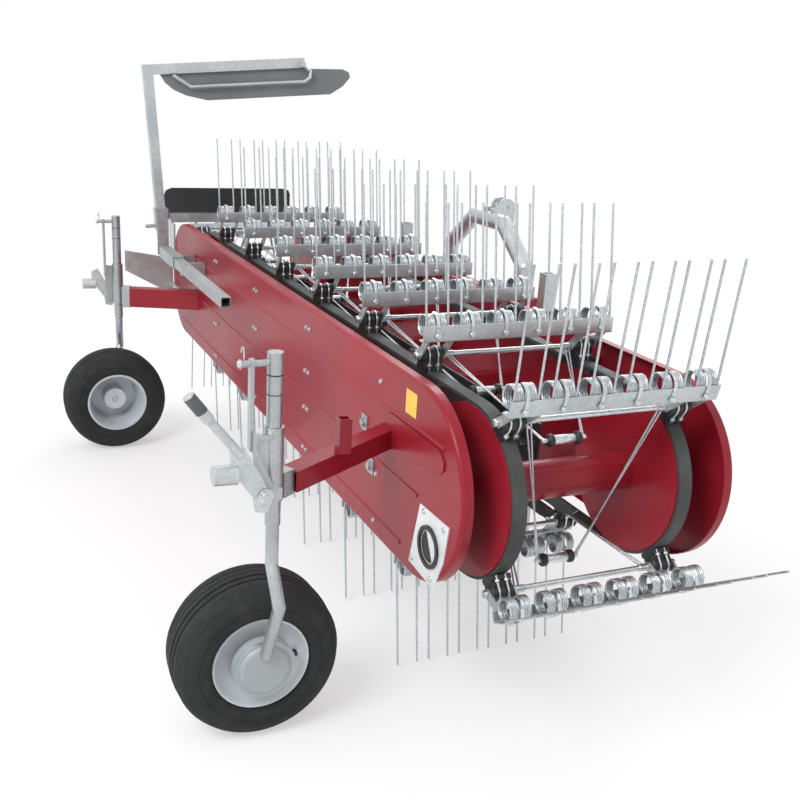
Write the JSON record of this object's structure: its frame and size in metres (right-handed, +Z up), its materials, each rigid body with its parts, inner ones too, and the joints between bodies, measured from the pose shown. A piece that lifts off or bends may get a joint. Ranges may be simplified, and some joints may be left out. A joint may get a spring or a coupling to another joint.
{
  "type": "belt hay rake",
  "caption": "Tractor-mounted belt rake: an oval body with two belts carrying spring-tine bars, height-set wheels, swath curtain, three-point hitch and parking stands.",
  "frame": {"origin": "middle of the whole outline on the ground plane, at rest", "axes": "+X along the machine towards the end away from the swath curtain, +Y towards the tractor, +Z up"},
  "size_m": [3.5434, 1.6079, 1.6251],
  "materials": {
    "red_paint": "gloss",
    "galvanised": "satin",
    "black_paint": "satin",
    "belt_rubber": "matte",
    "block_rubber": "matte",
    "flap_rubber": "matte",
    "tyre_rubber": "matte",
    "rim_paint": "satin",
    "motor_paint": "satin"
  },
  "bodies": {
    "frame": {"panel_outer": "red_paint", "panel_tractor": "red_paint", "drum_near": "red_paint", "drum_far": "red_paint", "bearings": "black_paint", "belt_outer": "belt_rubber", "belt_tractor": "belt_rubber", "belt_rails": "black_paint", "belt_clamps": "block_rubber", "tine_bars_top": "galvanised", "tine_bars_bottom": "galvanised", "tine_bars_near": "galvanised", "tine_bars_far": "galvanised", "guide_rollers": "galvanised", "control_track": "black_paint", "cross_members": "red_paint", "cover_plate": "galvanised", "cover_ring": "block_rubber", "cover_cap": "galvanised", "wheel_arm_near": "red_paint", "wheel_arm_far": "red_paint", "sleeve_near": "galvanised", "sleeve_far": "galvanised", "lever_near": "galvanised", "lever_far": "galvanised", "slide_guide": "galvanised", "end_board": "galvanised", "guard_tube": "galvanised", "guard_sheet": "flap_rubber", "headstock": "red_paint", "hitch_arch": "galvanised", "stand_sleeves": "red_paint", "drive_motor": "motor_paint"},
    "leg_near_body": {"leg_near": "galvanised"},
    "leg_far_body": {"leg_far": "galvanised"},
    "wheel_near_body": {"rim_near": "rim_paint", "tyre_near": "tyre_rubber"},
    "wheel_far_body": {"rim_far": "rim_paint", "tyre_far": "tyre_rubber"},
    "curtain_slide": {"slide_tube": "galvanised"},
    "curtain_mast": {"mast": "galvanised", "curtain": "flap_rubber"},
    "stand_near_body": {"stand_near": "galvanised"},
    "stand_far_body": {"stand_far": "galvanised"}
  },
  "joints": [
    {"name": "leg_near_height", "type": "slide", "parent": "frame", "child": "leg_near_body", "axis": [0, 0, 1], "range_m": [-0.06, 0.06]},
    {"name": "leg_far_height", "type": "slide", "parent": "frame", "child": "leg_far_body", "axis": [0, 0, 1], "range_m": [-0.06, 0.06]},
    {"name": "wheel_near_spin", "type": "hinge", "parent": "leg_near_body", "child": "wheel_near_body", "pos_m": [1.09131, -0.595, 0.209], "axis": [1, 0, 0], "continuous": true},
    {"name": "wheel_far_spin", "type": "hinge", "parent": "leg_far_body", "child": "wheel_far_body", "pos_m": [-0.99869, -0.595, 0.209], "axis": [1, 0, 0], "continuous": true},
    {"name": "curtain_reach", "type": "slide", "parent": "frame", "child": "curtain_slide", "axis": [-1, 0, 0], "range_m": [0, 0.45]},
    {"name": "curtain_height", "type": "slide", "parent": "curtain_slide", "child": "curtain_mast", "axis": [0, -0.0732, 0.9973], "range_m": [-0.15, 0.1]},
    {"name": "stand_near_height", "type": "slide", "parent": "frame", "child": "stand_near_body", "axis": [0, 0, 1], "range_m": [0, 0.35]},
    {"name": "stand_far_height", "type": "slide", "parent": "frame", "child": "stand_far_body", "axis": [0, 0, 1], "range_m": [0, 0.35]}
  ]
}
